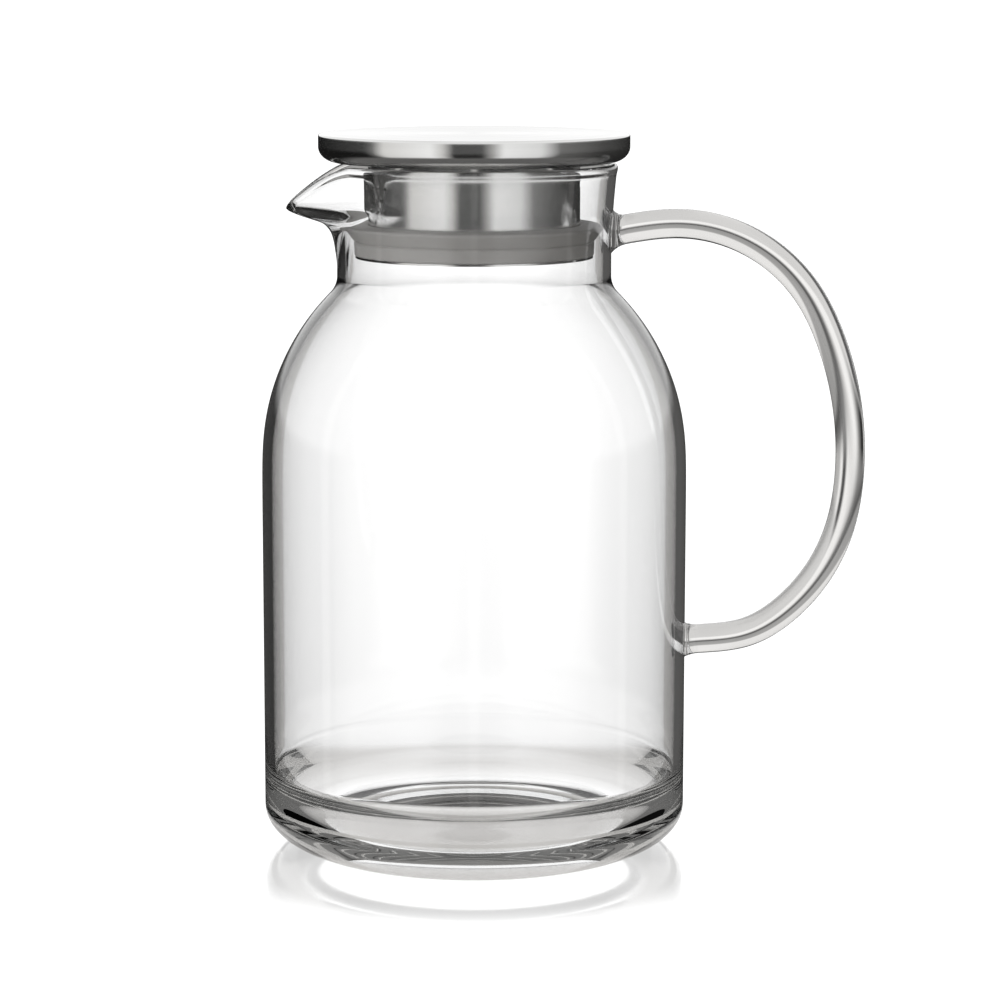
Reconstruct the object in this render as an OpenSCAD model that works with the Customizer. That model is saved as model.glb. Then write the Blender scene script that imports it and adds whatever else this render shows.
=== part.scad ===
// Large covered water jug: a blown glass vessel with a pulled pouring beak, a bent
// glass rod handle welded to it, and a lift-out steel lid on a silicone plug seal.
// Millimetres. The origin is on the jug's axis, in the plane of its foot ring.
// +Z is up, the beak points along -X and the handle along +X.

/* [Vessel] */
// Outer diameter of the straight body
body_d = 135.6; // [130:0.2:140]
// Height where the straight body turns into the shoulder
shoulder_z = 124; // [120:1:128]
// Outer diameter of the neck at its narrowest
neck_d = 87; // [85:0.5:88]
// Height of the rim above the foot
rim_z = 219; // [217:0.5:221]
// Thickness of the body's wall
body_wall = 3; // [2.6:0.1:3.4]
// Thickness of the neck's wall
neck_wall = 2.5; // [2.3:0.1:2.6]
// Thickness of the floor at its middle
floor_t = 4.5; // [4:0.1:6]

/* [Beak] */
// Reach of the beak's tip from the jug's axis
beak_reach = 60; // [56:0.5:62]
// Radius of the beak's tip in plan
beak_tip_r = 3; // [2.8:0.1:4]

/* [Handle] */
// Diameter of the handle's glass rod
rod_d = 9.4; // [8.5:0.1:10]
// Radius of the flare where the rod is welded to the wall
weld_r = 6.6; // [6:0.1:7]

/* [Lid] */
// Outer diameter of the lid
lid_d = 98.4; // [96:0.2:100]
// Height of the lid's edge
lid_h = 8.9; // [8:0.1:10]
// Gap between the rim and the underside of the closed lid
lid_gap = 0.5; // [0.4:0.1:1]
// Thickness of the lid's sheet steel
sheet = 0.8; // [0.6:0.1:0.8]
// Outer diameter of the lid's collar
collar_d = 67; // [66:0.5:68]
// Diameter of one strainer hole
strainer_d = 1.8; // [1.4:0.1:2]
// Rows of strainer holes
strainer_rows = 4; // [3:1:4]

/* [Seal] */
// Height of the silicone seal
seal_h = 9.8; // [9:0.1:10]
// Gap between the seal's lip and the neck
seal_gap = 0.25; // [0.2:0.05:0.4]

/* [Hidden] */
$fn = 96;

glass_tint = [0.86, 0.92, 0.92, 0.45];
steel_tint = [0.74, 0.74, 0.73];
silicone_tint = [0.60, 0.59, 0.57];
core_tint = [0.93, 0.93, 0.91];

big = 400;      // longer than anything in the part
skin = 0.05;    // running clearance between the seal and the collar

// ---- vessel, worked out from the driving sizes
body_r = body_d / 2;
neck_r = neck_d / 2;
shoulder_r = 76;        // radius of the shoulder's arc in profile
blend_r = 8;            // concave radius where the shoulder meets the neck
rim_r = neck_r + 1.4;   // the neck opens a little towards the rim
flare_z = rim_z - 21;   // height where that opening starts
heel_w = 20;            // how far the heel runs in from the wall
heel_h = 12.5;          // how high the heel's curve reaches
foot_w = 4.5;           // width of the flat foot ring
foot_r = body_r - heel_w;
push_up = 3.2;          // rise of the hollow under the floor
inner_heel_w = 14;
inner_heel_h = 14;
floor_z = push_up + floor_t;
inner_floor_z = floor_z - 0.9;  // the floor falls a little towards its edge

// The vessel is one piece of glass, given as four stacked nodes so that each hollow
// length of it can have its own open collision shape. These are the levels between.
floor_cut = 10;
body_cut = shoulder_z;
neck_cut = 184;

// ---- lid stack, from the rim upwards and downwards
lid_r = lid_d / 2;
lid_z = rim_z + lid_gap;          // underside of the closed lid's edge
lid_top = lid_z + lid_h;
roll_w = 6;                       // the edge rolls in under the lid by this much
roll_h = 4.8;
lip_r = lid_r - roll_w;           // inner end of the rolled edge
plate_z = lid_z + sheet;          // the base plate lies on the rolled edge
plate_r = lid_r - 2.9;
core_z = plate_z + sheet;
core_top = lid_top - sheet;
core_r = lid_r - 3.4;
collar_r = collar_d / 2;
collar_wall = 0.7;
flange_r = collar_r + 4.1;        // turned-out foot that keeps the seal on
flange_t = 0.6;
seal_z = lid_z - 29.2;            // underside of the seal
seal_lip_r = neck_r - neck_wall - seal_gap;
seal_lower_r = collar_r + 4.4;
seal_band = 4.3;                  // height of the seal's lower band
strainer_z = lid_z - 14.6;        // height of the lowest strainer row
strainer_pitch = 3.6;
strainer_half = 5;                // columns each side of the middle one
strainer_step = 7;                // degrees between columns
slot_w = 10;                      // air slot opposite the beak
slot_h = 2.6;
slot_z = lid_z - 6.4;

// ---- handle path: a start, then straights and tangent arcs turning downwards
handle_start = [neck_r - 1, 197.2];
handle_heading = 9.8;
handle_lead = 12.9;
handle_arcs = [[50.9, 74.1], [105.3, 34.6], [56.5, 52], [16, 25.4]];  // [radius, degrees]
handle_tail = 20;
weld_len = 4.5;

// Points of an elliptical arc about [cx, cz], from angle a0 to a1
function arc(cx, cz, rx, rz, a0, a1, steps = 14) =
    [for (i = [0:steps]) let (a = a0 + (a1 - a0) * i / steps) [cx + rx * cos(a), cz + rz * sin(a)]];

// The shoulder arc of radius shoulder_r - inset, about a centre on the shoulder's
// level, runs into a concave fillet that ends on the neck line at radius r_neck.
function shoulder_cx() = body_r - shoulder_r;
function blend_cx(r_neck, r_blend) = r_neck + r_blend;
function blend_cz(r_dome, r_neck, r_blend) =
    shoulder_z + sqrt(pow(r_dome + r_blend, 2) - pow(blend_cx(r_neck, r_blend) - shoulder_cx(), 2));
function blend_angle(r_dome, r_neck, r_blend) =
    acos((blend_cx(r_neck, r_blend) - shoulder_cx()) / (r_dome + r_blend));
function shoulder(r_dome, r_neck, r_blend) =
    let (a = blend_angle(r_dome, r_neck, r_blend), cx = blend_cx(r_neck, r_blend))
    concat(
        arc(shoulder_cx(), shoulder_z, r_dome, r_dome, 0, a, 18),
        arc(cx, blend_cz(r_dome, r_neck, r_blend), r_blend, r_blend, 180 + a, 180, 8)
    );

// The vessel's outer shape in profile, filled to the axis, up to height top
module outer_profile(top) {
    polygon(concat(
        [[0, push_up]],
        [for (i = [1:9]) let (t = i / 9) [(foot_r - foot_w) * t, push_up * (1 - t * t)]],
        [[foot_r, 0]],
        arc(foot_r, heel_h, heel_w, heel_h, -84, 0, 12),
        shoulder(shoulder_r, neck_r, blend_r),
        [[neck_r, flare_z], [rim_r, rim_z - 1.2], [rim_r, top], [0, top]]
    ));
}

// The hollow inside, in profile
module inner_profile() {
    r = body_r - body_wall;
    r_neck = neck_r - neck_wall;
    mouth_r = rim_r - neck_wall;
    polygon(concat(
        [[0, floor_z], [r - inner_heel_w, inner_floor_z]],
        arc(r - inner_heel_w, inner_floor_z + inner_heel_h, inner_heel_w, inner_heel_h, -82, 0, 10),
        shoulder(shoulder_r - body_wall, r_neck, blend_r + neck_wall),
        [[r_neck, flare_z], [mouth_r, rim_z - 1], [mouth_r, big], [0, big]]
    ));
}

module glass_outside() {
    rotate_extrude() outer_profile(rim_z);
}

// Plan of the beak: two lines leave a circle of radius r and run to a rounded tip
module beak_plan(r, reach, tip_r) {
    a = acos((r - tip_r) / (reach - tip_r));
    tip = [-(reach - tip_r), 0];
    translate(tip) circle(r = tip_r, $fn = 48);
    polygon([
        [-r * cos(a), r * sin(a)],
        tip + tip_r * [-cos(a), sin(a)],
        tip + tip_r * [-cos(a), -sin(a)],
        [-r * cos(a), -r * sin(a)]
    ]);
}

// Side outline of the beak: its underside below and the falling rim above
beak_under = [[-44.5, 196], [-46, 198.6], [-49, 200.2], [-54, 201.9], [-58.6, 203.8], [-64, 207.5]];
beak_rim = [[-64, 203], [-60, 206], [-58, 207.9], [-55, 210.2], [-51, 212.6], [-46.5, 215], [-41, 217.2], [-33, rim_z]];

module side_prism(points) {
    rotate([90, 0, 0]) linear_extrude(big, center = true) polygon(points);
}

module beak_outside() {
    intersection() {
        translate([0, 0, 190]) linear_extrude(rim_z - 190) beak_plan(neck_r - 0.2, beak_reach, beak_tip_r);
        side_prism(concat([[-20, 196]], beak_under, [[-64, rim_z], [-20, rim_z]]));
    }
}

module beak_inside() {
    t = neck_wall;
    intersection() {
        translate([0, 0, 190])
            linear_extrude(big) beak_plan(neck_r - 0.2 - t, beak_reach - t, beak_tip_r - t / 2);
        translate([0, 0, t])
            side_prism(concat([[-20, 196]], [for (p = beak_under) p + [t * 0.6, 0]], [[-64, big], [-20, big]]));
    }
}

module vessel() {
    difference() {
        union() {
            glass_outside();
            beak_outside();
        }
        rotate_extrude() inner_profile();
        beak_inside();
        side_prism(concat(beak_rim, [[-33, big], [-64, big]]));
    }
}

module vessel_between(low, high) {
    color(glass_tint) intersection() {
        vessel();
        translate([-big / 2, -big / 2, low]) cube([big, big, high - low]);
    }
}

module vessel_floor() {
    vessel_between(-1, floor_cut);
}

module vessel_body() {
    vessel_between(floor_cut, body_cut);
}

module vessel_shoulder() {
    vessel_between(body_cut, neck_cut);
}

module vessel_neck() {
    vessel_between(neck_cut, rim_z + 1);
}

// ---- handle: each piece of the path is placed where the one before it ends
function turned(arcs, n) = n == 0 ? 0 : arcs[n - 1][1] + turned(arcs, n - 1);
function heading(n) = handle_heading - turned(handle_arcs, n);
function direction(a) = [cos(a), sin(a)];
function left_of(a) = [-sin(a), cos(a)];
function joint_at(n) = n == 0
    ? handle_start + handle_lead * direction(handle_heading)
    : let (r = handle_arcs[n - 1][0], p = joint_at(n - 1), c = p - r * left_of(heading(n - 1)))
        c + r * left_of(heading(n));

module in_side_view(p) {
    translate([p[0], 0, p[1]]) children();
}

module rod_straight(p, a, length) {
    in_side_view(p) rotate([0, 90 - a, 0]) cylinder(r = rod_d / 2, h = length);
}

module rod_arc(p, a, r, turn) {
    in_side_view(p - r * left_of(a)) rotate([90, 0, 0]) rotate([0, 0, 90 + a - turn])
        rotate_extrude(angle = turn) translate([r, 0]) circle(r = rod_d / 2);
}

// The flare runs a little way into the rod, so that the two surfaces cross cleanly
module weld_flare(p, a) {
    in_side_view(p) rotate([0, 90 - a, 0]) cylinder(r1 = weld_r, r2 = rod_d / 2 - 0.1, h = weld_len);
}

// A bead a hair wider than the rod closes each change of bend
module bend_bead(p) {
    in_side_view(p) sphere(r = rod_d / 2 + 0.02);
}

module glass_handle() {
    last = len(handle_arcs);
    tail_end = joint_at(last) + handle_tail * direction(heading(last));
    wall_top = handle_start + 0.6 * direction(handle_heading);
    wall_low = joint_at(last) + ((body_r - joint_at(last)[0] - 0.2) / cos(heading(last))) * direction(heading(last));
    color(glass_tint) difference() {
        union() {
            rod_straight(handle_start, handle_heading, handle_lead);
            for (i = [0:last - 1]) rod_arc(joint_at(i), heading(i), handle_arcs[i][0], handle_arcs[i][1]);
            for (i = [0:last]) bend_bead(joint_at(i));
            rod_straight(joint_at(last), heading(last), handle_tail);
            weld_flare(wall_top, handle_heading);
            weld_flare(wall_low, heading(last) + 180);
        }
        glass_outside();
    }
}

// ---- lid
module lid_cap() {
    color(steel_tint) rotate_extrude() polygon(concat(
        [[0, lid_top]],
        arc(lid_r - 0.7, lid_top - 0.7, 0.7, 0.7, 90, 0, 4),
        arc(lip_r, lid_z + roll_h, roll_w, roll_h, 0, -90, 10),
        arc(lip_r, lid_z + roll_h, roll_w - sheet, roll_h - sheet, -90, 0, 10),
        [[lid_r - sheet, core_top], [0, core_top]]
    ));
}

module lid_base() {
    color(steel_tint) rotate_extrude() polygon([
        [0, plate_z], [lip_r, plate_z], [plate_r, plate_z + 1.4], [plate_r - 0.3, plate_z + 2.1],
        [lip_r - 0.3, core_z], [0, core_z]
    ]);
}

module lid_core() {
    color(core_tint) rotate_extrude() polygon([
        [0, core_z], [lip_r - 0.6, core_z], [core_r, core_z + 2], [core_r, core_top], [0, core_top]
    ]);
}

module strainer_holes() {
    for (row = [0:strainer_rows - 1], col = [-strainer_half:strainer_half])
        let (a = 180 + (col + (row % 2) / 2) * strainer_step)
            if (row % 2 == 0 || col < strainer_half)
                rotate([0, 0, a]) translate([collar_r - 3, 0, strainer_z + row * strainer_pitch])
                    rotate([0, 90, 0]) cylinder(d = strainer_d, h = 6, $fn = 24);
}

module collar() {
    bottom = seal_z - flange_t - skin;
    color(steel_tint) difference() {
        union() {
            translate([0, 0, bottom]) cylinder(r = collar_r, h = plate_z - bottom);
            translate([0, 0, bottom]) cylinder(r = flange_r, h = flange_t);
        }
        translate([0, 0, bottom - 1]) cylinder(r = collar_r - collar_wall, h = plate_z - bottom + 2);
        strainer_holes();
        translate([collar_r, 0, slot_z]) cube([6, slot_w, slot_h], center = true);
    }
}

module seal() {
    top = seal_z + seal_h;
    bore_r = collar_r + skin;
    color(silicone_tint) rotate_extrude() polygon(concat(
        [[bore_r, seal_z], [seal_lower_r - 0.6, seal_z]],
        [[seal_lower_r, seal_z + 0.6], [seal_lower_r + 0.2, seal_z + seal_band]],
        [[seal_lower_r - 0.2, seal_z + seal_band + 0.3], [seal_lower_r + 0.4, seal_z + seal_band + 0.8]],
        arc(seal_lip_r - 0.8, top - 1.1, 0.8, 0.8, -30, 90, 6),
        [[seal_lip_r - 2.6, top - 0.9], [bore_r + 0.6, top], [bore_r, top]]
    ));
}

vessel_floor();
vessel_body();
vessel_shoulder();
vessel_neck();
glass_handle();
lid_cap();
lid_base();
lid_core();
collar();
seal();
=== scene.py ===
"""Large covered water jug: the looks of the blown glass, the glass rod handle,
the turned steel lid with its strainer collar, and the silicone plug seal.
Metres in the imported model's frame; the sizes below are in millimetres."""

import math

import bpy
import numpy as np
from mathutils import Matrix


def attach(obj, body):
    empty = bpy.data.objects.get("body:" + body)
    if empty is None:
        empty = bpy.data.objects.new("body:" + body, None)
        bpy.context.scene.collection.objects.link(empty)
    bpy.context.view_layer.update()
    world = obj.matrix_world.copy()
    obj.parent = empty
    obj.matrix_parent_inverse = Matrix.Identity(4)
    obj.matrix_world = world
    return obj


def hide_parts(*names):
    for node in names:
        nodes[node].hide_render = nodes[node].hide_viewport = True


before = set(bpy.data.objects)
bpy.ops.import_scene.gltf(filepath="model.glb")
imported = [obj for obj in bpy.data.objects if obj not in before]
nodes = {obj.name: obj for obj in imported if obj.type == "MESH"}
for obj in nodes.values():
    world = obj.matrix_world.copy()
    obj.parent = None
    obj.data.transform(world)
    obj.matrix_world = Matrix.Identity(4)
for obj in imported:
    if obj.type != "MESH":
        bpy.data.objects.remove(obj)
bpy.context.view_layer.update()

MM = 0.001
PI = math.pi

# ---------------------------------------------------------------- camera

CAMERA_HEIGHT = 281.31
CAMERA_DISTANCE = 1050.0
CAMERA_PITCH = 9.198
CAMERA_LENS = 119.4
CAMERA_SHIFT = 0.02582


def make_camera():
    data = bpy.data.cameras.new("camera")
    data.lens = CAMERA_LENS
    data.sensor_width = 36.0
    data.shift_x = CAMERA_SHIFT
    data.clip_start, data.clip_end = 0.05, 50.0
    camera = bpy.data.objects.new("camera", data)
    camera.location = (0, -CAMERA_DISTANCE * MM, CAMERA_HEIGHT * MM)
    camera.rotation_euler = (math.radians(90 - CAMERA_PITCH), 0, 0)
    bpy.context.scene.collection.objects.link(camera)
    bpy.context.scene.camera = camera


# ---------------------------------------------------------------- mesh tools


def closed_sheet(name, rings):
    """A closed surface from an array of rings, shape (rows, columns, 3), in millimetres.
    The first and the last row have shrunk to a point each, and become one vertex."""
    rows, columns = rings.shape[:2]
    inner = rings[1:-1].reshape(-1, 3)
    points = np.concatenate([rings[:1, 0], inner, rings[-1:, 0]]) * MM
    i, j = np.meshgrid(np.arange(rows - 3), np.arange(columns), indexing="ij")
    k = (j + 1) % columns
    a = 1 + i * columns
    quads = np.stack([a + j, a + k, a + columns + k, a + columns + j], -1).reshape(-1, 4)
    j = np.arange(columns)
    k = (j + 1) % columns
    last = 1 + (rows - 3) * columns
    start = np.stack([np.zeros(columns, int), 1 + k, 1 + j], -1)
    end = np.stack([np.full(columns, len(points) - 1), last + j, last + k], -1)
    return smooth_solid(name, points, start.tolist() + quads.tolist() + end.tolist())


def ring_solid(name, rings):
    """A closed ring from an array of rings, where the last row runs on into the first."""
    rows, columns = rings.shape[:2]
    i, j = np.meshgrid(np.arange(rows), np.arange(columns), indexing="ij")
    a, b = i * columns, (i + 1) % rows * columns
    k = (j + 1) % columns
    quads = np.stack([a + j, a + k, b + k, b + j], -1).reshape(-1, 4)
    return smooth_solid(name, rings.reshape(-1, 3) * MM, quads.tolist())


def smooth_solid(name, points, faces):
    """A smooth-shaded closed mesh whose faces point outwards: six times its volume is
    the sum, over its triangles, of the triple product of the corners."""
    mesh = bpy.data.meshes.new(name)
    mesh.from_pydata(points.tolist(), [], faces)
    mesh.polygons.foreach_set("use_smooth", np.ones(len(mesh.polygons), bool))
    mesh.calc_loop_triangles()
    corners = np.zeros(len(mesh.loop_triangles) * 3, np.int32)
    mesh.loop_triangles.foreach_get("vertices", corners)
    a, b, c = points[corners.reshape(-1, 3)].transpose(1, 0, 2)
    if (a * np.cross(b, c)).sum() < 0:
        mesh.flip_normals()
    mesh.update()
    return put(name, mesh)


def put(name, mesh):
    obj = bpy.data.objects.new(name, mesh)
    bpy.context.scene.collection.objects.link(obj)
    return obj


def turned(profile, angles):
    """Rings from a profile of (radius, height) points, turned about the Z axis."""
    r, z = np.asarray(profile, float).T[..., None]
    return np.stack([r * np.cos(angles), r * np.sin(angles), z + 0 * angles], -1)


def full_turn(n):
    return np.linspace(0, 2 * PI, n, endpoint=False)


def arc(cx, cz, rx, rz, start, end, steps):
    """Points of an elliptical arc about (cx, cz), from start to end in degrees."""
    t = np.radians(np.linspace(start, end, steps))
    return np.stack([cx + rx * np.cos(t), cz + rz * np.sin(t)], -1)


def line(a, b, steps):
    """Evenly spaced points from a to b, without b."""
    t = np.linspace(0, 1, steps, endpoint=False)[:, None]
    return np.asarray(a, float) * (1 - t) + np.asarray(b, float) * t


def smooth_path(points, steps):
    """A curve through the points: each stretch is a cubic whose slope at a point is half
    the step between its two neighbours."""
    p = np.asarray(points, float)
    p = np.concatenate([[2 * p[0] - p[1]], p, [2 * p[-1] - p[-2]]])
    t = np.linspace(0, 1, steps, endpoint=False)[:, None, None]
    a, b, c, d = p[:-3], p[1:-2], p[2:-1], p[3:]
    square, cube = 2 * a - 5 * b + 4 * c - d, 3 * b - a - 3 * c + d
    curve = 0.5 * (2 * b + (c - a) * t + square * t**2 + cube * t**3)
    return np.concatenate([curve.transpose(1, 0, 2).reshape(-1, p.shape[1]), p[-2:-1]])


def smoothstep(x, low, high):
    """0 below low, 1 above high, and 3 t^2 - 2 t^3 of the way t between."""
    t = np.clip((x - low) / (high - low), 0, 1)
    return t * t * (3 - 2 * t)


# ---------------------------------------------------------------- vessel

BODY_R = 67.8
BODY_WALL = 3.0
NECK_R = 43.45
NECK_WALL = 2.5
# The straight wall ends at SHOULDER_Z. BLEND_R is the hollow between shoulder and neck,
# and EASE is how gently the wall runs into the shoulder.
SHOULDER_Z = 124.5
SHOULDER_R = 76.0
SHOULDER_START = -0.35
BLEND_R = 8.0
EASE = 6.0
# The neck widens between two heights, and ends in a small bead and a rounded rim.
NECK_OPENS = 192.0
NECK_OPEN = 216.0
NECK_POWER = 1.6
RIM_Z = 219.0
RIM_R = 45.0
RIM_ROUND = 1.3
BEAD_OUT = 0.35
BEAD_DOWN = 0.3
BEAD_WIDTH = 1.2
# The rim falls by BEAK_DROP from the beak's root to its tip.
BEAK_START = 186.0
BEAK_REACH = 60.0
BEAK_WALL = 2.0
BEAK_TIP_R = 3.4
BEAK_TIP_INSET = 0.6
BEAK_ROOT = 38.0
BEAK_DROP = 13.0
DROP_POWER = 1.6
BEAK_SECTOR = 50
# The foot is a flat ring, hollowed inside. The heel's inside is a tight arc through
# HEEL_BEND degrees, and then one wide arc down to the floor.
FOOT_R = 47.8
FOOT_RING = 4.5
FOOT_HOLLOW = 3.2
HEEL_H = 12.5
HEEL_TOP = 27.3
HEEL_TIGHT_R = 6.0
HEEL_BEND = 28.0
FLOOR_EDGE = 6.8
FLOOR_RISE = 0.9


def wall_and_shoulder(foot_z, centre_r, dome, neck, blend, steps):
    """The profile from the heel to the neck: radius centre_r + sqrt(dome^2 - u^2), where u
    is EASE * ln(1 + exp((z - SHOULDER_Z) / EASE)), so that the straight wall runs gently
    into the round shoulder; then a hollow fillet of radius blend up to the neck's line."""
    across = neck + blend - centre_r
    a = math.acos(across / (dome + blend))
    up = SHOULDER_Z + math.sqrt((dome + blend) ** 2 - across**2)
    turned_by = np.linspace(SHOULDER_START, a, steps)
    z = SHOULDER_Z + dome * np.sin(turned_by)
    z = np.concatenate([np.linspace(foot_z, z[0], 8)[:-1], z])
    u = EASE * np.log1p(np.exp((z - SHOULDER_Z) / EASE))
    r = centre_r + np.sqrt(dome**2 - u**2)
    fillet = arc(neck + blend, up, blend, blend, 180 + math.degrees(a), 180, steps // 3)
    return np.concatenate([np.stack([r, z], -1)[:-1], fillet])


def beak_columns():
    """Angles round the vessel, measured from the beak, close together near it."""
    fine = np.radians(np.linspace(-BEAK_SECTOR, BEAK_SECTOR, 133))
    coarse = np.radians(np.linspace(BEAK_SECTOR, 360 - BEAK_SECTOR, 110))[1:-1]
    return np.concatenate([fine, coarse])


def wedge(angle, circle_r, reach, tip_r):
    """Distance from the axis to a plan outline made of a circle, two lines that leave it
    as tangents, and a rounded tip of radius tip_r at the given reach."""
    angle = np.abs((angle + PI) % (2 * PI) - PI)
    centre = np.maximum(reach - tip_r, circle_r - tip_r + 1e-6)
    touch = np.arccos((circle_r - tip_r) / centre)
    turn = np.arctan2(tip_r * np.sin(touch), centre + tip_r * np.cos(touch))
    on_line = circle_r / np.cos(np.clip(touch - angle, 0, None))
    inside = np.clip(tip_r**2 - (centre * np.sin(angle)) ** 2, 0, None)
    on_tip = centre * np.cos(angle) + np.sqrt(inside)
    out = np.where(angle < turn, on_tip, on_line)
    return np.where(angle >= touch, circle_r, out)


# Reach and height of points down the middle of the beak's underside.
KEEL = (
    (43.45, 184.0), (43.6, 188.0), (44.05, 191.5), (44.6, 194.7), (45.6, 197.5),
    (47.8, 199.9), (51.6, 201.3), (55.1, 202.45), (58.1, 203.8), (59.6, 205.4),
    (60.0, 207.6), (60.0, 212.0), (60.0, 219.5),
)


def keel(height, inset=0.0):
    """Reach of the beak's keel at a height: a smooth curve through KEEL, moved inwards
    along its own normal by inset."""
    curve = smooth_path(KEEL, 24)
    slope = np.gradient(curve, axis=0)
    slope /= np.linalg.norm(slope, axis=1)[:, None]
    curve = curve + inset * np.stack([-slope[:, 1], slope[:, 0]], -1)
    keep = np.concatenate([[True], np.diff(np.maximum.accumulate(curve[:, 1])) > 0])
    return np.interp(height, curve[keep, 1], curve[keep, 0])


def neck_radius(height):
    """The neck widens from NECK_R to RIM_R by a power of the share of the way up."""
    share = np.clip((height - NECK_OPENS) / (NECK_OPEN - NECK_OPENS), 0, 1)
    return NECK_R + (RIM_R - NECK_R) * share**NECK_POWER


def rim_height(angle):
    """The rim falls towards the beak's tip by a power of the distance past its root."""
    reach = wedge(angle, RIM_R, BEAK_REACH, BEAK_TIP_R)
    past = np.clip((reach * np.cos(angle) - BEAK_ROOT) / (BEAK_REACH - BEAK_ROOT), 0, None)
    return RIM_Z - BEAK_DROP * past**DROP_POWER


def neck_rings(angles, steps, inset):
    """Rings from the neck's foot to the rim, spaced evenly at each angle: the outside with
    its bead, a bell curve of height, where inset is 0, and the inside where it is 1."""
    top = rim_height(angles) - RIM_ROUND
    t = np.linspace(0, 1, steps)[:, None]
    z = BEAK_START + (top - BEAK_START) * t
    wall = inset * NECK_WALL
    beak_wall = inset * BEAK_WALL
    bead = (1 - inset) * BEAD_OUT * np.exp(-(((top - BEAD_DOWN - z) / BEAD_WIDTH) ** 2))
    circle_r = neck_radius(z) - wall + bead
    reach = np.maximum(keel(z, beak_wall) + bead, circle_r)
    r = wedge(angles, circle_r, reach, BEAK_TIP_R - BEAK_TIP_INSET * beak_wall)
    return np.stack([-r * np.cos(angles), r * np.sin(angles), z], -1)


def make_vessel():
    """The glass vessel as one closed sheet: up the outside from the middle of its foot,
    over the rim's half ellipse, and down the inside to the middle of its floor."""
    angles = beak_columns()
    centre_r = BODY_R - SHOULDER_R
    ring_in = FOOT_R - FOOT_RING
    hollow = np.linspace(0, 1, 12)
    outside = np.concatenate(
        [
            np.stack([ring_in * hollow, FOOT_HOLLOW * (1 - hollow**2)], -1)[:-1],
            line((ring_in, 0), (FOOT_R, 0), 3),
            arc(FOOT_R, HEEL_H, BODY_R - FOOT_R, HEEL_H, -90, 0, 26)[:-1],
            wall_and_shoulder(HEEL_H, centre_r, SHOULDER_R, NECK_R, BLEND_R, 60),
        ]
    )
    tight_r = BODY_R - BODY_WALL - HEEL_TIGHT_R
    lean = math.radians(HEEL_BEND)
    low_r = tight_r + HEEL_TIGHT_R * math.cos(lean)
    low_z = HEEL_TOP - HEEL_TIGHT_R * math.sin(lean)
    wide = (low_z - FLOOR_EDGE) / (1 - math.sin(lean))
    flat = low_r - wide * math.cos(lean)
    floor = np.linspace(1, 0, 8)
    inside = np.concatenate(
        [
            wall_and_shoulder(
                HEEL_TOP, centre_r, SHOULDER_R - BODY_WALL, NECK_R - NECK_WALL,
                BLEND_R + NECK_WALL, 60
            )[:0:-1],
            arc(tight_r, HEEL_TOP, HEEL_TIGHT_R, HEEL_TIGHT_R, 0, -HEEL_BEND, 10)[:-1],
            arc(flat, FLOOR_EDGE + wide, wide, wide, -HEEL_BEND, -90, 26)[:-1],
            np.stack([flat * floor, FLOOR_EDGE + FLOOR_RISE * (1 - floor**2)], -1),
        ]
    )
    turn = PI - angles
    out_neck = neck_rings(angles, 90, 0)
    in_neck = neck_rings(angles, 90, 1)[::-1]
    edge_out, edge_in = out_neck[-1], in_neck[0]
    middle, half = (edge_out + edge_in) / 2, (edge_out - edge_in) / 2
    t = np.radians(np.linspace(0, 180, 12))[1:-1, None, None]
    round_over = middle + half * np.cos(t)
    round_over[..., 2] += (RIM_ROUND * np.sin(t))[..., 0]
    rings = np.concatenate(
        [turned(outside, turn)[:-1], out_neck, round_over, in_neck, turned(inside, turn)[1:]]
    )
    return closed_sheet("glass_vessel_blown", rings)


# ---------------------------------------------------------------- handle

ROD_R = 4.7
ROD_COLUMNS = 56
# The rod's middle: where it starts, its heading in degrees above level, and then a
# straight lead, four arcs of (radius, degrees) and a straight tail.
HANDLE_START = (42.45, 197.2)
HANDLE_HEADING = 9.8
HANDLE_LEAD = 12.9
HANDLE_ARCS = ((50.9, 74.1), (105.3, 34.6), (56.5, 52.0), (16.0, 25.4))
HANDLE_TAIL = 20.0
PATH_STEP = 1.2
EASED_LENGTH = 12.0
WELD_LENGTH = 7.0
FLARE_LENGTH = 4.5
FLARE_POWER = 2.2
TOP_FLARE = 2.0
LOW_FLARE = 0.9
WELD_GAP = 0.03


def handle_path():
    """Points and headings along the rod's middle: a lead, four arcs in turn, and a tail."""
    heading = math.radians(HANDLE_HEADING)
    p = np.array(HANDLE_START)
    points, headings = [], []
    arcs = [(r * math.radians(a), math.radians(a)) for r, a in HANDLE_ARCS]
    for length, turn in [(HANDLE_LEAD, 0.0)] + arcs + [(HANDLE_TAIL, 0.0)]:
        n = max(4, int(length / PATH_STEP))
        s = np.linspace(0, 1, n, endpoint=False)
        h = heading - turn * s
        if turn:
            radius = length / turn
            centre = p - radius * np.array([-math.sin(heading), math.cos(heading)])
            q = centre + radius * np.stack([-np.sin(h), np.cos(h)], -1)
            p = centre + radius * np.array([-math.sin(heading - turn), math.cos(heading - turn)])
        else:
            q = p + (s * length)[:, None] * np.array([math.cos(heading), math.sin(heading)])
            p = p + length * np.array([math.cos(heading), math.sin(heading)])
        points.append(q)
        headings.append(h)
        heading -= turn
    return eased_path(np.concatenate(points), np.concatenate(headings))


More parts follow.
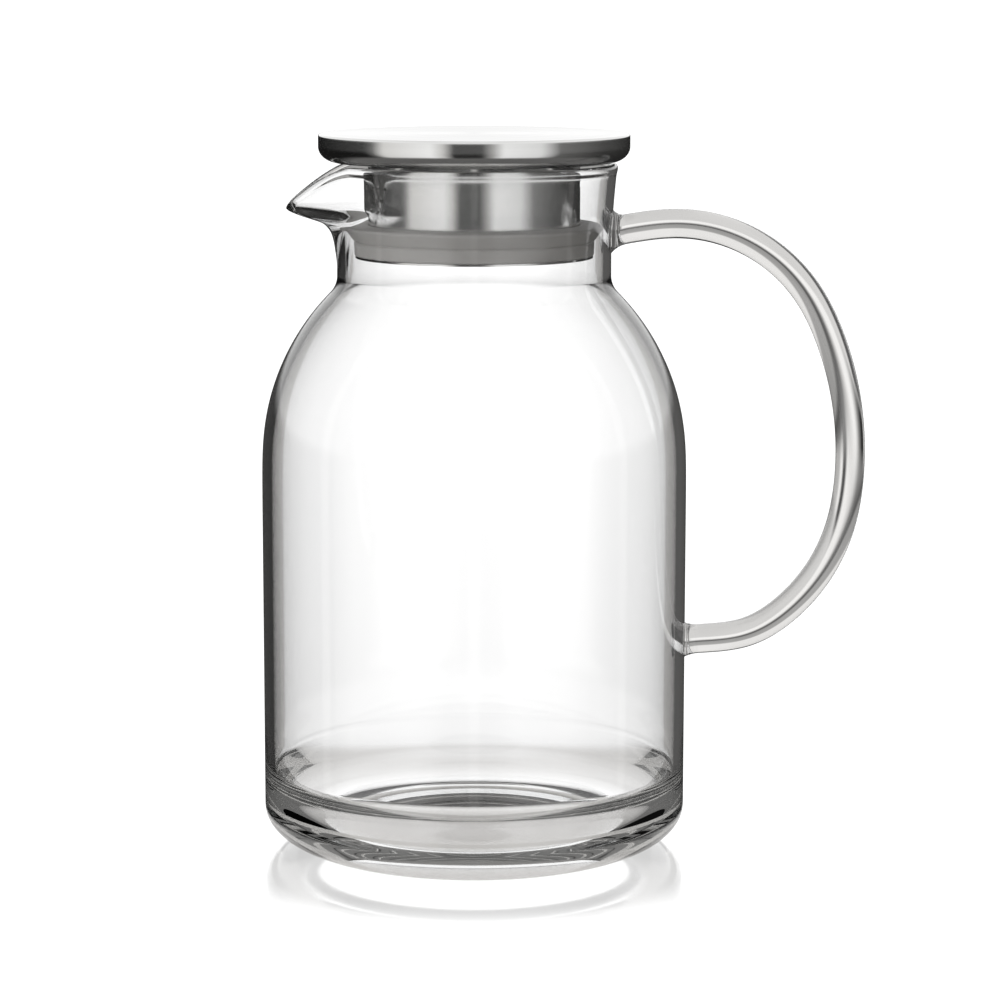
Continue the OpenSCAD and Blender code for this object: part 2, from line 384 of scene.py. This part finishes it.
def eased_path(points, headings):
    """The path with its bends run gently into each other: the heading at each place is
    the mean over EASED_LENGTH about it, taken twice, and the path is their sum again,
    drawn out evenly so that it ends where it did."""
    along = np.concatenate([[0.0], np.cumsum(np.linalg.norm(np.diff(points, axis=0), axis=1))])
    even = np.arange(0, along[-1], PATH_STEP)
    h = np.interp(even, along, headings)
    reach = int(EASED_LENGTH / PATH_STEP / 2)
    shares = np.ones(2 * reach + 1) / (2 * reach + 1)
    for _ in range(2):
        h = np.convolve(np.pad(h, reach, mode="edge"), shares, "valid")
    between = (h[1:] + h[:-1]) / 2
    steps = PATH_STEP * np.stack([np.cos(between), np.sin(between)], -1)
    q = points[0] + np.concatenate([[[0.0, 0.0]], np.cumsum(steps, axis=0)])
    end = np.array([np.interp(even[-1], along, points[:, k]) for k in (0, 1)])
    return q + (end - q[-1]) * (even / even[-1])[:, None], h


def outer_wall(points):
    """How far points stand outside the vessel's outer surface, taken as a tube, a round
    dome and the neck: the gentle run from wall to shoulder lies far from both welds."""
    z = points[..., 2]
    centre = BODY_R - SHOULDER_R
    dome = centre + np.sqrt(np.clip(SHOULDER_R**2 - (z - SHOULDER_Z) ** 2, 0, None))
    wall = np.where(z < SHOULDER_Z, BODY_R, np.maximum(dome, neck_radius(z)))
    return np.hypot(points[..., 0], points[..., 1]) - wall


def on_wall(points, direction):
    """Points slid along a direction until they lie on the vessel's outer surface."""
    for _ in range(30):
        points = points - (outer_wall(points) - WELD_GAP)[..., None] * direction / direction[0]
    return points


def rod_circle(across):
    """Unit vectors round the rod, from its sideways direction across and the Y axis."""
    a = full_turn(ROD_COLUMNS)[:, None]
    return np.cos(a) * across + np.sin(a) * np.array([0, 1, 0])


def weld(middle, heading, flare):
    """Rings of one welded end, from the middle of its seat out to a plain cross-section
    WELD_LENGTH away: the seat lies on the wall, the flare narrows by a power of the
    length left, and the rings straighten from the wall's curve to a flat circle."""
    along = np.array([math.cos(heading), 0, math.sin(heading)])
    circle = rod_circle(np.array([-math.sin(heading), 0, math.cos(heading)]))
    seat = on_wall(np.array([middle[0], 0, middle[1]]), along)
    wide = ROD_R + flare
    shares = (0, 0.25, 0.5, 0.75, 0.95)
    cap = [on_wall(seat + wide * share * circle, along) for share in shares]
    out = np.concatenate([[0.0], np.linspace(0.15, 1, 20) ** 1.5]) * WELD_LENGTH
    rings = []
    for distance in out:
        r = ROD_R + flare * max(0.0, 1 - distance / FLARE_LENGTH) ** FLARE_POWER
        foot = on_wall(seat + r * circle, along)
        lift = ((foot - seat) @ along)[:, None] * (1 - smoothstep(distance, 0, WELD_LENGTH))
        rings.append(seat + r * circle + (lift + distance) * along)
    return np.array(cap + rings), seat


def make_handle():
    """The rod: a welded end, the cross-section carried along the handle's path, and the
    other welded end."""
    points, headings = handle_path()
    radial = np.stack([-np.sin(headings), np.zeros(len(headings)), np.cos(headings)], -1)
    middle = np.stack([points[:, 0], np.zeros(len(points)), points[:, 1]], -1)
    rod = middle[:, None] + ROD_R * rod_circle(radial[:, None])
    top, top_seat = weld(HANDLE_START, headings[0], TOP_FLARE)
    low, low_seat = weld(points[-1], headings[-1] + PI, LOW_FLARE)
    # the low end was made facing the other way, so its circle runs backwards
    low = np.roll(low[::-1, ::-1], 1 + ROD_COLUMNS // 2, axis=1)
    clear = WELD_LENGTH + 0.5
    keep = (np.linalg.norm(middle - top_seat, axis=1) > clear) & (
        np.linalg.norm(middle - low_seat, axis=1) > clear
    )
    keep &= outer_wall(middle) > 0
    return closed_sheet("glass_handle_drawn", np.concatenate([top, rod[keep], low])[:, ::-1])


# ---------------------------------------------------------------- lid and seal

LID_R = 49.2
LID_LOW = 219.5
LID_TOP = 228.4
LID_EDGE = 0.7
LIP_IN = 6.0
LIP_UP = 4.8
SHEET = 0.8


def make_lid_cap():
    """The drawn steel shell, turned: flat top, tight upper edge, rolled lower edge, and
    back along the inside."""
    lip, bend_z = LID_R - LIP_IN, LID_LOW + LIP_UP
    under, inner = LID_TOP - SHEET, LID_R - SHEET
    profile = np.concatenate(
        [
            line((0, LID_TOP), (LID_R - 4, LID_TOP), 40),
            line((LID_R - 4, LID_TOP), (LID_R - LID_EDGE, LID_TOP), 6),
            arc(LID_R - LID_EDGE, LID_TOP - LID_EDGE, LID_EDGE, LID_EDGE, 90, 0, 9),
            line((LID_R, LID_TOP - LID_EDGE), (LID_R, bend_z), 6)[1:],
            arc(lip, bend_z, LIP_IN, LIP_UP, 0, -90, 22),
            arc(lip, bend_z, LIP_IN - SHEET, LIP_UP - SHEET, -90, 0, 10),
            [(inner, under)],
            line((inner - 0.3, under), (0, under), 8),
            [(0, under)],
        ]
    )
    return closed_sheet("lid_cap_drawn", turned(profile, full_turn(256))[::-1])


SEAL_LOW = 190.3
SEAL_TOP = 200.1
SEAL_BORE = 33.55
SEAL_BAND = 37.9
SEAL_LIP = 40.75
SEAL_GROOVE = 194.9


def make_seal():
    """The silicone ring, turned about the axis: two bands with a thin groove between
    them, a rounded lip, and a top that rises to the rounded edge of the bore."""
    low, top, groove = SEAL_LOW, SEAL_TOP, SEAL_GROOVE
    bore, band, lip = SEAL_BORE, SEAL_BAND, SEAL_LIP
    corner, lip_r = 0.6, 0.8
    loop = np.concatenate(
        [
            line((bore, low), (band - corner, low), 6),
            arc(band - corner, low + corner, corner, corner, -90, 0, 6),
            line((band, low + 0.7), (band + 0.2, groove - 0.4), 6),
            [(band + 0.15, groove - 0.25), (band - 0.2, groove - 0.1)],
            [(band - 0.2, groove + 0.1), (band + 0.35, groove + 0.35)],
            line((band + 0.5, groove + 0.5), (lip - 0.12, top - 1.5), 8),
            arc(lip - lip_r, top - 1.1, lip_r, lip_r, -25, 90, 10),
            line((lip - 1.2, top - 0.35), (bore + 0.8, top), 8),
            [(bore + 0.3, top - 0.1), (bore, top - 0.5)],
            line((bore, top - 0.9), (bore, low), 6)[:-1],
        ]
    )
    return ring_solid("seal_moulded", turned(loop, full_turn(220)))


# ---------------------------------------------------------------- materials


class Maker:
    """A short way to add and join shader nodes, in a new material or in the world."""

    def __init__(self, name, world=None):
        self.material = world or bpy.data.materials.new(name)
        self.material.use_nodes = True
        self.tree = self.material.node_tree
        self.tree.nodes.clear()

    def node(self, kind, inputs=None, **settings):
        node = self.tree.nodes.new("ShaderNode" + kind)
        for key, value in settings.items():
            setattr(node, key, value)
        for key, value in (inputs or {}).items():
            socket = node.inputs[key]
            if isinstance(value, bpy.types.NodeSocket):
                self.tree.links.new(value, socket)
            else:
                socket.default_value = value
        return node

    def math(self, operation, a, b=0.0):
        return self.node("Math", {0: a, 1: b}, operation=operation).outputs[0]

    def place(self):
        """Object coordinates, in metres in the jug's frame."""
        return self.node("TexCoord").outputs["Object"]

    def tones(self, share, dark, pale, span=(0.0, 1.0)):
        """A colour that goes from dark to pale as share crosses the span."""
        node = self.node("ValToRGB", {"Fac": share})
        for point, where, colour in zip(node.color_ramp.elements, span, (dark, pale)):
            point.position, point.color = where, (*colour, 1)
        return node.outputs[0]

    def output(self, **sockets):
        node = self.tree.nodes.new("ShaderNodeOutputMaterial")
        for key, socket in sockets.items():
            self.tree.links.new(socket, node.inputs[key.capitalize()])


def radius_and_height(m, place):
    """Distance from the jug's axis and height, in metres, of a place."""
    parts = m.node("SeparateXYZ", {0: place}).outputs
    flat = m.node("CombineXYZ", {0: parts[0], 1: parts[1]}).outputs[0]
    return m.node("VectorMath", {0: flat}, operation="LENGTH").outputs[1], parts[2]


def clear_glass(name, wave):
    """Clear fire-polished glass, with the slow ripple that a blown or drawn surface keeps:
    wave is how high the ripple stands, in metres."""
    m = Maker(name)
    slow = {"Vector": m.place(), "Scale": 38.0, "Detail": 2.0, "Roughness": 0.4}
    ripple = m.node("TexNoise", slow)
    bump = m.node("Bump", {"Height": ripple.outputs[0], "Strength": 1.0, "Distance": wave})
    shader = m.node(
        "BsdfPrincipled",
        {
            "Base Color": (1, 1, 1, 1),
            "Roughness": 0.0,
            "IOR": 1.473,
            "Transmission Weight": 1.0,
            "Normal": bump.outputs[0],
        },
    )
    depth = m.node("VolumeAbsorption", {"Color": (0.86, 0.87, 0.87, 1), "Density": 8.0})
    m.output(surface=shader.outputs[0], volume=depth.outputs[0])
    return m.material


ROUGHNESS_CLOUD = 0.06


def turned_steel(name, line_depth, rough):
    """Stainless steel turned on a lathe: fine tool lines run round the axis, so colour and
    bump vary only with radius and height. The roughness has a faint cloud as well."""
    m = Maker(name)
    place = m.place()
    radius, height = radius_and_height(m, place)
    across = m.node("CombineXYZ", {0: radius, 1: height}).outputs[0]
    lines = {"Vector": across, "Scale": 5200.0, "Detail": 3.0}
    bands = {"Vector": across, "Scale": 260.0, "Detail": 2.0}
    fine = m.node("TexNoise", lines, noise_dimensions="2D")
    broad = m.node("TexNoise", bands, noise_dimensions="2D")
    cloud = m.node("TexNoise", {"Vector": place, "Scale": 24.0, "Detail": 3.0})
    tone = m.tones(broad.outputs[0], (0.63, 0.63, 0.625), (0.69, 0.69, 0.68), (0.3, 0.75))
    uneven = {0: cloud.outputs[0], 1: ROUGHNESS_CLOUD, 2: rough - ROUGHNESS_CLOUD / 2}
    spread = m.node("Math", uneven, operation="MULTIPLY_ADD").outputs[0]
    bump = m.node("Bump", {"Height": fine.outputs[0], "Strength": 1.0, "Distance": line_depth})
    tangent = m.node("Tangent", direction_type="RADIAL", axis="Z")
    shader = m.node(
        "BsdfPrincipled",
        {
            "Base Color": tone,
            "Metallic": 1.0,
            "Roughness": spread,
            "Anisotropic": 0.7,
            "Anisotropic Rotation": 0.25,
            "Tangent": tangent.outputs[0],
            "Normal": bump.outputs[0],
        },
    )
    m.output(surface=shader.outputs[0])
    return m.material


def moulded_silicone():
    """Translucent grey silicone with a soft satin skin and faint moulding cloud."""
    m = Maker("grey silicone")
    place = m.place()
    cloud = m.node("TexNoise", {"Vector": place, "Scale": 90.0, "Detail": 4.0})
    grain = m.node("TexNoise", {"Vector": place, "Scale": 2600.0, "Detail": 2.0})
    tone = m.tones(cloud.outputs[0], (0.44, 0.43, 0.415), (0.50, 0.49, 0.475), (0.3, 0.7))
    bump = m.node("Bump", {"Height": grain.outputs[0], "Strength": 0.5, "Distance": 0.00002})
    shader = m.node(
        "BsdfPrincipled",
        {
            "Base Color": tone,
            "Roughness": 0.5,
            "Subsurface Weight": 0.12,
            "Subsurface Radius": (0.002, 0.002, 0.002),
            "Normal": bump.outputs[0],
        },
    )
    m.output(surface=shader.outputs[0])
    return m.material


def filler_plastic():
    """Natural polypropylene, milky and matt, with a faint moulding cloud."""
    m = Maker("natural polypropylene")
    cloud = m.node("TexNoise", {"Vector": m.place(), "Scale": 60.0, "Detail": 3.0})
    tone = m.tones(cloud.outputs[0], (0.76, 0.76, 0.73), (0.84, 0.84, 0.81))
    shader = m.node("BsdfPrincipled", {"Base Color": tone, "Roughness": 0.55})
    m.output(surface=shader.outputs[0])
    return m.material


# ---------------------------------------------------------------- studio

BACKDROP = 1.22
WHITE = (1.0, 1.0, 1.0, 1)
WARM = (1.0, 0.985, 0.965)
WARM_BELOW = 0.8
# Round the jug, in degrees from the front: the soft boxes and dark cloths that its metal
# mirrors.
STUDIO = (
    (-180, 0.01), (-88, 0.01), (-80, 0.12), (-70, 0.75), (-32, 1.0), (-23, 0.65), (-15, 0.02),
    (6, 0.03), (14, 0.40), (22, 0.95), (50, 0.80), (66, 0.12), (110, 0.04), (180, 0.01),
)
# Up from straight down, in degrees: brightness, and how much of the round pattern shows
# instead.
STUDIO_UP = (
    (-90, 0.12, 0), (-38, 0.14, 0), (-28, 0.10, 1), (-1, 0.5, 1), (3, 1.0, 0), (60, 0.9, 0),
    (90, 0.8, 0),
)
# Light that falls on dull surfaces, round the jug: most of it comes from the left.
ROOM = ((-180, 0.4), (-50, 1.1), (-5, 1.0), (45, 0.35), (100, 0.1), (180, 0.4))
# What stands behind one thickness of glass, round from the middle of a bright window.
NEAR_STEP = 180.0
NEAR_WINDOW = (
    (-90, 0.42), (-40, 0.42), (-35, 0.62), (-31, 0.75), (-27, 0.62), (-24, 0.12), (-21, 0.03),
    (-18, 0.06), (-14.5, 0.50), (-12, 0.75), (8, 0.75), (14, 0.48), (20, 0.22), (26, 0.10),
    (31, 0.02), (42, 0.01), (46, 0.30), (52, 0.62), (90, 0.42),
)
NEAR_UP = (
    (-90, 0.55, 0), (-15, 0.55, 0), (-12.5, 0.5, 1), (-9, 0.4, 1), (-6, 0.16, 0),
    (-3.8, 0.07, 0), (-2, 0.28, 0), (6, 0.32, 0), (9, 0.70, 0), (44, 0.70, 0), (50, 0.03, 0),
    (90, 0.02, 0),
)
# The same for light bent downwards: the table in the middle, and a dark cloth to one side.
NEAR_LOW = (
    (-90, 0.30), (-42, 0.30), (-26, 0.50), (24, 0.55), (29, 0.03), (46, 0.01), (52, 0.35),
    (90, 0.30),
)
BENT_DOWN = (-16.0, -13.0)
# What light that the wall turns back within itself comes from.
EDGE_STEP = 90.0
EDGE_WINDOW = ((-45, 0.08), (-4, 0.08), (-2, 0.6), (2, 0.6), (3.5, 0.01), (45, 0.01))
# What light that glass turns back many times comes from.
INNER_GLOW = (0.13, 0.128, 0.125, 1)
# What stands behind the whole jug.
FAR_STEP = 45.0
FAR_WINDOW = (
    (-22.5, 0.74), (-18, 0.70), (-15, 0.62), (-12.2, 0.62), (-11.5, 0.86), (-5.5, 0.88),
    (0, 1.0), (5.5, 0.88), (11.5, 0.86), (12.2, 0.62), (15, 0.62), (18, 0.70), (22.5, 0.74),
)
FAR_UP = (
    (-90, 0.80), (-16, 0.84), (-13.7, 0.88), (-11.8, 0.93), (-9.2, 0.97), (-7, 1.0), (90, 1.0),
)
# How often light has passed through or bounced is a whole number, so the limits between
# the kinds of light lie halfway: any at all, no more than one wall's two faces, and many.
ANY = 0.5
ONE_WALL = 2.5
MANY = 2.5


def ramp(m, place, stops, low, high):
    """A colour ramp from stops of (place between low and high, brightness, share), whose
    darker greys are a little warm. Its outputs are the colour and the share."""
    share = m.math("DIVIDE", m.math("SUBTRACT", place, low), high - low)
    node = m.node("ValToRGB", {"Fac": share})
    points = node.color_ramp.elements
    while len(points) < len(stops):
        points.new(0.5)
    for point, stop in zip(points, stops):
        point.position = (stop[0] - low) / (high - low)
    for point, stop in zip(points, stops):
        tint = WARM if stop[1] < WARM_BELOW else (1.0, 1.0, 1.0)
        point.color = (*(stop[1] * t for t in tint), stop[2] if len(stop) > 2 else 1)
    return node.outputs


def blend(m, share, first, second, kind="MIX"):
    """The first colour where share is 0 and the second, or their product, where it is 1."""
    inputs = {0: share, 6: first, 7: second}
    return m.node("Mix", inputs, data_type="RGBA", blend_type=kind).outputs[2]


def fall(m, value, span):
    """1 before the span, 0 past it, and a smooth step between."""
    inputs = {"Value": value, "From Min": span[0], "From Max": span[1]}
    inputs.update({"To Min": 1.0, "To Max": 0.0})
    return m.node("MapRange", inputs, interpolation_type="SMOOTHSTEP").outputs[0]


def from_window(m, turn, step):
    """Degrees from the middle of the nearest of the windows that stand every step degrees."""
    part = m.math("FRACT", m.math("ADD", m.math("DIVIDE", turn, step), 0.5))
    return m.math("MULTIPLY", m.math("SUBTRACT", part, 0.5), step)


def make_world():
    """A white room. The eye sees the plain backdrop. A surface of metal mirrors the soft
    boxes of the studio. Light that the glass bends comes from dark cloths between bright
    windows, of one kind behind a single wall and another behind the whole jug, so that the
    edges of the glass are drawn in grey. Dull surfaces are lit by the room."""
    world = bpy.data.worlds.new("studio")
    bpy.context.scene.world = world
    world.cycles.sampling_method = "NONE"
    m = Maker(None, world)
    way = m.node("SeparateXYZ", {0: m.node("TexCoord").outputs["Generated"]})
    back = m.math("MULTIPLY", way.outputs[1], -1.0)
    turn = m.math("MULTIPLY", m.math("ARCTAN2", way.outputs[0], back), 180 / PI)
    up = m.math("MULTIPLY", m.math("ARCSINE", way.outputs[2]), 180 / PI)

    studio = ramp(m, turn, STUDIO, -180, 180)
    studio_up = ramp(m, up, STUDIO_UP, -90, 90)
    mirrored = blend(m, studio_up[1], studio_up[0], studio[0])
    near_turn = from_window(m, turn, NEAR_STEP)
    near = ramp(m, near_turn, NEAR_WINDOW, -NEAR_STEP / 2, NEAR_STEP / 2)
    near_up = ramp(m, up, NEAR_UP, -90, 90)
    bent = blend(m, near_up[1], near_up[0], near[0])
    low = ramp(m, near_turn, NEAR_LOW, -NEAR_STEP / 2, NEAR_STEP / 2)[0]
    bent = blend(m, fall(m, up, BENT_DOWN), bent, low)
    edge_turn = from_window(m, turn, EDGE_STEP)
    turned_back = ramp(m, edge_turn, EDGE_WINDOW, -EDGE_STEP / 2, EDGE_STEP / 2)[0]
    far_turn = from_window(m, turn, FAR_STEP)
    far = ramp(m, far_turn, FAR_WINDOW, -FAR_STEP / 2, FAR_STEP / 2)
    beyond = blend(m, 1.0, far[0], ramp(m, up, FAR_UP, -90, 90)[0], "MULTIPLY")
    room = ramp(m, turn, ROOM, -180, 180)[0]

    path = m.node("LightPath").outputs
    passed, mirrors = path["Transmission Depth"], path["Glossy Depth"]
    through = m.math("GREATER_THAN", passed, ANY)
    one_wall = m.math("MULTIPLY", through, m.math("LESS_THAN", passed, ONE_WALL))
    glossy = m.math("GREATER_THAN", mirrors, ANY)
    many = m.math("MULTIPLY", through, m.math("GREATER_THAN", mirrors, MANY))
    diffuse = m.math("GREATER_THAN", path["Diffuse Depth"], ANY)
    seen = blend(m, through, WHITE, beyond)
    seen = blend(m, glossy, seen, mirrored)
    seen = blend(m, one_wall, seen, blend(m, glossy, bent, turned_back))
    seen = blend(m, many, seen, INNER_GLOW)
    seen = blend(m, diffuse, seen, room)
    light = m.node("Background", {"Color": seen, "Strength": BACKDROP})
    out = m.tree.nodes.new("ShaderNodeOutputWorld")
    m.tree.links.new(light.outputs[0], out.inputs[0])


# In metres: half the table's width, and the spans of radius over which the shade under
# the foot, the part that glass and steel see, and the reflection each fade away.
FLOOR_HALF = 6.0
UNDER_THE_FOOT = (0.045, 0.062)
TABLE_IN_GLASS = (0.080, 0.090)
REFLECTION_FADE = (0.080, 0.112)
# Painted shade: the glowing grey of the table near the jug that glass and steel see, standing
# for its shadow, and darker again under the foot; the eye sees the table white
TABLE_PAINTED_SHADE = (0.50, 0.49, 0.48, 1)
SHADE_TONE = (0.46, 0.45, 0.435, 1)
GLOSS_GAIN = 2.1


def make_floor():
    """A pale glossy table top that carries on past the view, evenly white to the eye. Only the
    part under the jug shows in the glass and the steel, painted grey there as a painted shadow
    that is darker
    still under the foot: the rest of what they see is the room."""
    mesh = bpy.data.meshes.new("floor")
    w = FLOOR_HALF
    mesh.from_pydata([(-w, -w, 0), (w, -w, 0), (w, w, 0), (-w, w, 0)], [], [(0, 1, 2, 3)])
    floor = put("floor", mesh)
    m = Maker("white table top")
    radius = radius_and_height(m, m.place())[0]
    eye = m.node("LightPath").outputs["Is Camera Ray"]
    # painted shadow: grey near the jug and darker under the foot for glass and steel, plain
    # white for the eye
    tone = blend(m, fall(m, radius, UNDER_THE_FOOT), TABLE_PAINTED_SHADE, SHADE_TONE)
    tone = blend(m, eye, tone, WHITE)
    glow = m.node("Emission", {"Color": tone, "Strength": BACKDROP})
    gloss = m.node("BsdfGlossy", {"Color": WHITE, "Roughness": 0.09})
    fresnel = m.node("Fresnel", {"IOR": 1.6})
    strong = m.math("MULTIPLY", fresnel.outputs[0], GLOSS_GAIN)
    share = m.math("MULTIPLY", strong, fall(m, radius, REFLECTION_FADE))
    table = m.node("MixShader", {0: share, 1: glow.outputs[0], 2: gloss.outputs[0]})
    clear = m.node("BsdfTransparent", {"Color": WHITE})
    shown = m.math("MAXIMUM", eye, fall(m, radius, TABLE_IN_GLASS))
    both = m.node("MixShader", {0: shown, 1: clear.outputs[0], 2: table.outputs[0]})
    m.output(surface=both.outputs[0])
    mesh.materials.append(m.material)


def coat(obj, material):
    obj.data.materials.clear()
    obj.data.materials.append(material)


def finish_with(obj, material):
    coat(obj, material)


make_camera()
make_world()
make_floor()

glass = clear_glass("blown glass", 0.000004)
rod_glass = clear_glass("drawn glass rod", 0.000002)
steel = turned_steel("brushed steel", 0.0000002, 0.12)
collar_steel = turned_steel("satin steel tube", 0.0000003, 0.15)

vessel = make_vessel()
finish_with(vessel, glass)
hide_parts("vessel_floor", "vessel_body", "vessel_shoulder", "vessel_neck")
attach(vessel, "jug")

handle = make_handle()
finish_with(handle, rod_glass)
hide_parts("glass_handle")
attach(handle, "jug")

cap = make_lid_cap()
finish_with(cap, steel)
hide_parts("lid_cap")
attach(cap, "lid")

seal = make_seal()
finish_with(seal, moulded_silicone())
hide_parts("seal")
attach(seal, "seal")

coat(nodes["lid_base"], steel)
coat(nodes["collar"], collar_steel)
coat(nodes["lid_core"], filler_plastic())

# the thick heel of the glass passes light on many times before it comes out
bpy.context.scene.cycles.max_bounces = 32
bpy.context.scene.cycles.glossy_bounces = 24
bpy.context.scene.cycles.transmission_bounces = 24

settings = bpy.context.scene.view_settings
settings.view_transform = "Standard"
settings.look = "None"
settings.exposure = 0.0
